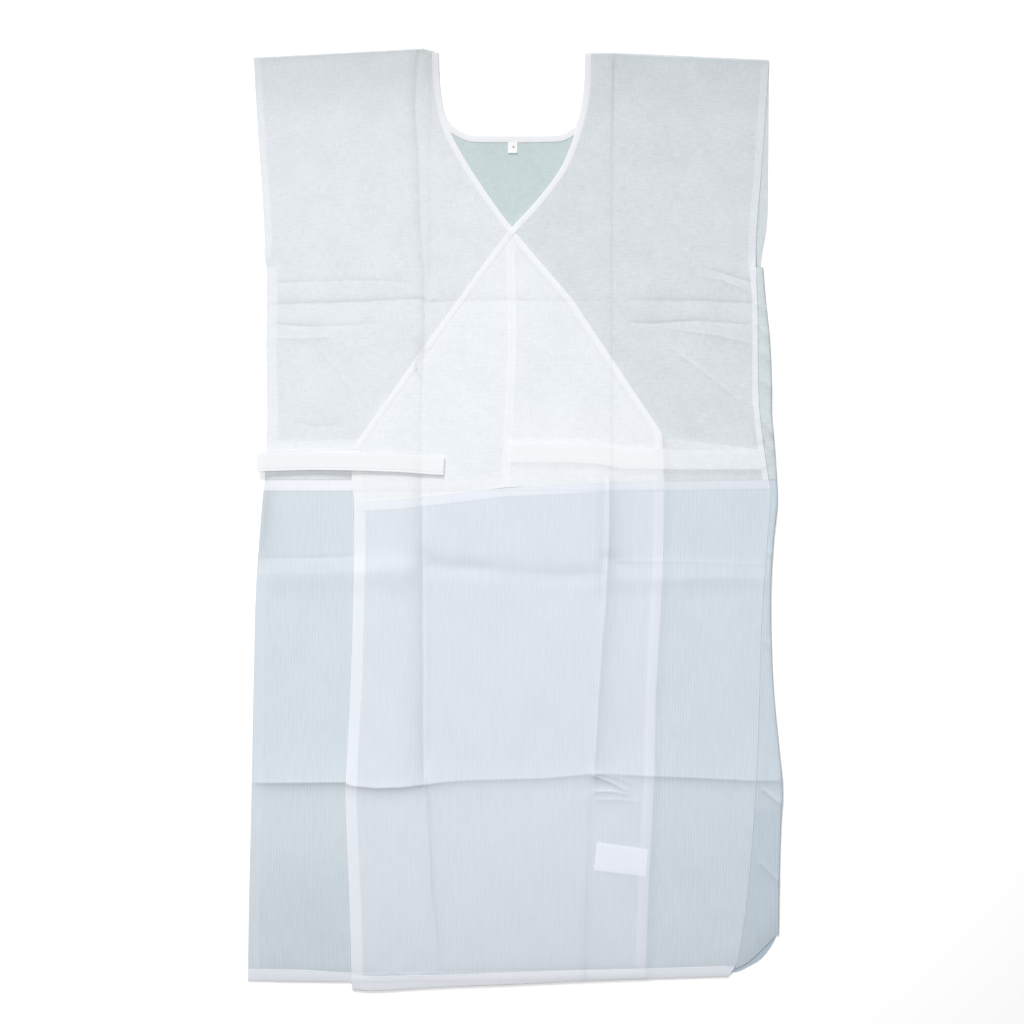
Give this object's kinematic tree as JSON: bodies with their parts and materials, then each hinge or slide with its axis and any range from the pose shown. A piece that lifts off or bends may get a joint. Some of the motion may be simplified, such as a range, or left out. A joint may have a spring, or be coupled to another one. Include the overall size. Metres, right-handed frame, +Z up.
{
  "type": "yukata slip",
  "caption": "Sheer wrap-front one-piece underdress for wear under a yukata, laid flat, with a bound V neck, cut-on shoulders, crepe skirt and flat ties.",
  "frame": {"origin": "centre of the laid garment's outline, on the surface that it lies on", "axes": "+Y from hem to shoulders, +X across the garment to the viewer's right (the wearer's left), +Z up from the surface, out of the front"},
  "size_m": [0.6532, 1.15, 0.0088],
  "materials": {
    "cotton": "sheer white plain-weave cotton, matte, greyer and bluer where it is one layer thick",
    "crepe": "sheer white cotton crepe with fine ribs along its length, matte",
    "trim": "white cotton strip, folded and stitched, matte",
    "label": null
  },
  "bodies": {
    "root": {"body": "cotton", "overlap_panel_left": "cotton", "overlap_panel_right": "cotton", "skirt_back": "crepe", "skirt_front_right": "crepe", "skirt_front_left": "crepe", "neck_binding_back": "trim", "neck_binding_right": "trim", "neck_binding_left": "trim", "tie_outer": "trim", "tie_inner": "trim", "label_neck": "label", "label_care": "label"}
  },
  "joints": []
}
